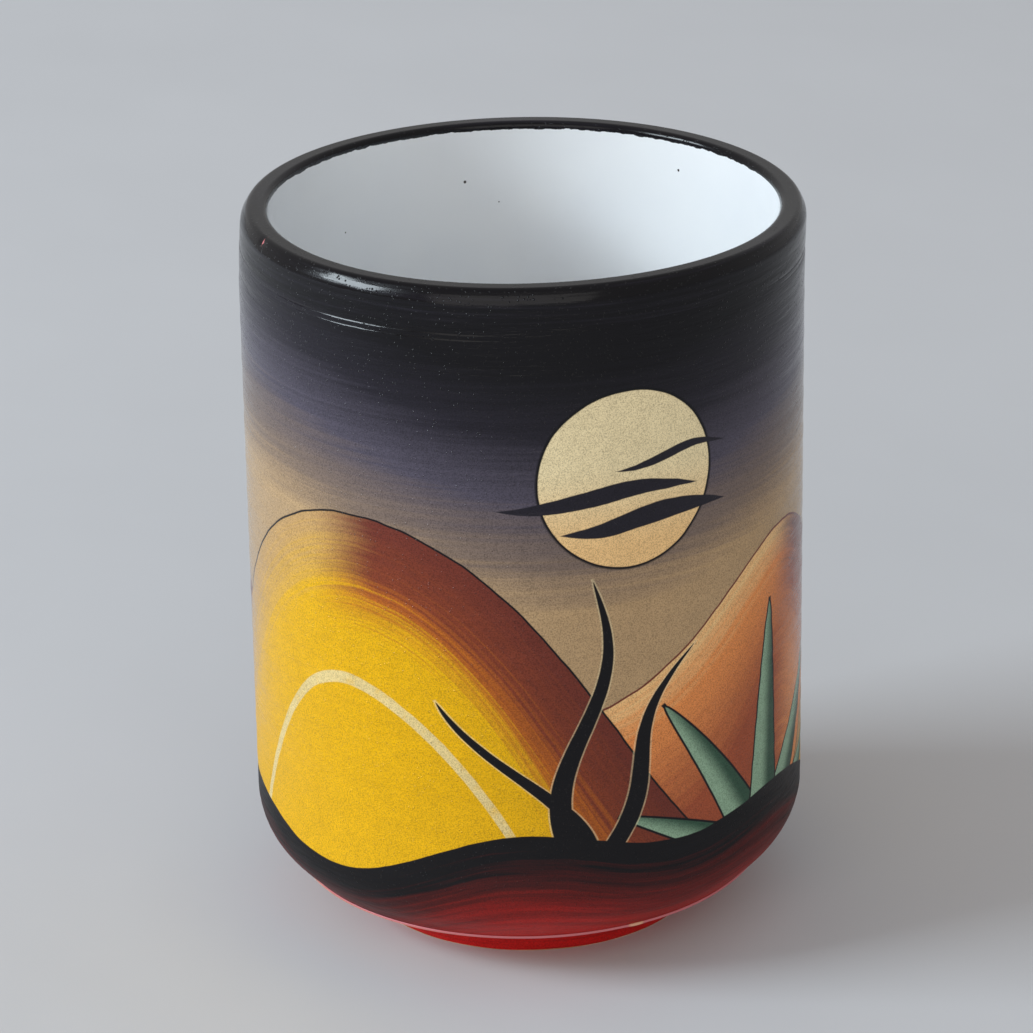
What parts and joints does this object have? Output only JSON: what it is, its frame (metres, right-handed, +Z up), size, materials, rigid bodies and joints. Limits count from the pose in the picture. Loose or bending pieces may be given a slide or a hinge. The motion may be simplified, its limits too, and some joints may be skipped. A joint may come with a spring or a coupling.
{
  "type": "coffee mug",
  "caption": "Straight-sided pottery mug with no handle, a rounded base on a small foot ring, painted and varnished outside and white glazed inside, for hot drinks.",
  "frame": {"origin": "middle of the foot ring's underside, where the mug stands", "axes": "+Z up along the axis of the mug; the pictured side faces -Y"},
  "size_m": [0.082, 0.082, 0.1085],
  "materials": {
    "clay": "matte",
    "slip": "matte",
    "white_glaze": "gloss",
    "painted_glaze": "satin",
    "black_glaze": "satin",
    "red_glaze": "satin"
  },
  "bodies": {
    "root": {"clay_body": "clay", "foot_ring": "clay", "slip_seam": "slip", "glaze_lining": "white_glaze", "painted_coat": "painted_glaze", "lip_band": "black_glaze", "foot_coat": "red_glaze"}
  },
  "joints": []
}
